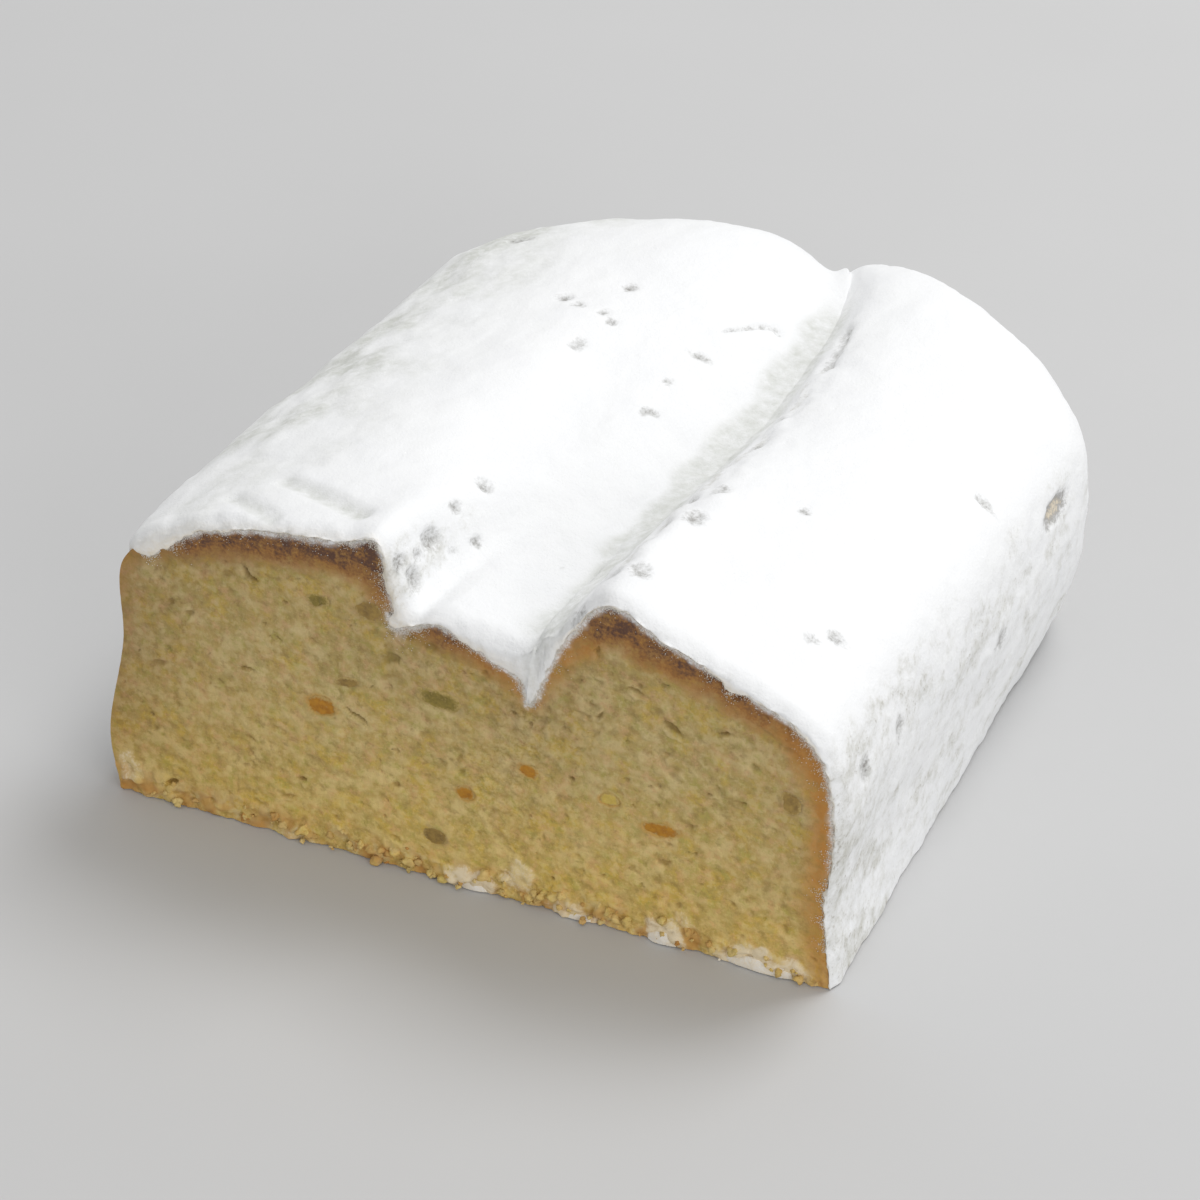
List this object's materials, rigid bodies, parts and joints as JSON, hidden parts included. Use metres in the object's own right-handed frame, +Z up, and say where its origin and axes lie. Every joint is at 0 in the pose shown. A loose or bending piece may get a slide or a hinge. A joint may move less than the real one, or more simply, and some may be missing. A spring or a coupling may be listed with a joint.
{
  "type": "stollen",
  "caption": "Sugar-dusted stollen loaf cut straight across, with a step and a crease along the top and candied peel in the crumb.",
  "frame": {"origin": "middle of the bounding box, on the flat base the loaf rests on", "axes": "+Z up, +Y along the loaf from the cut face to the rounded far end, -Y out of the cut face, +X to the lower lobe on the right when the cut face is seen"},
  "size_m": [0.138, 0.1476, 0.066],
  "materials": {
    "crumb": "dense golden crumb with a browned crust",
    "icing_sugar": "dull white powdered sugar",
    "orange_peel": "moist candied orange peel",
    "citron_peel": "moist candied green citron",
    "lemon_peel": "moist candied lemon peel",
    "raisin": "dark moist raisin cut through"
  },
  "bodies": {
    "root": {"loaf": "crumb", "sugar_coat": "icing_sugar", "orange_peel_large": "orange_peel", "orange_peel_long": "orange_peel", "orange_peel_low": "orange_peel", "orange_peel_middle": "orange_peel", "citron_peel_long": "citron_peel", "citron_peel_top": "citron_peel", "lemon_peel": "lemon_peel", "raisin_step": "raisin", "raisin_low": "raisin", "raisin_right": "raisin", "raisin_seam": "raisin"}
  },
  "joints": []
}
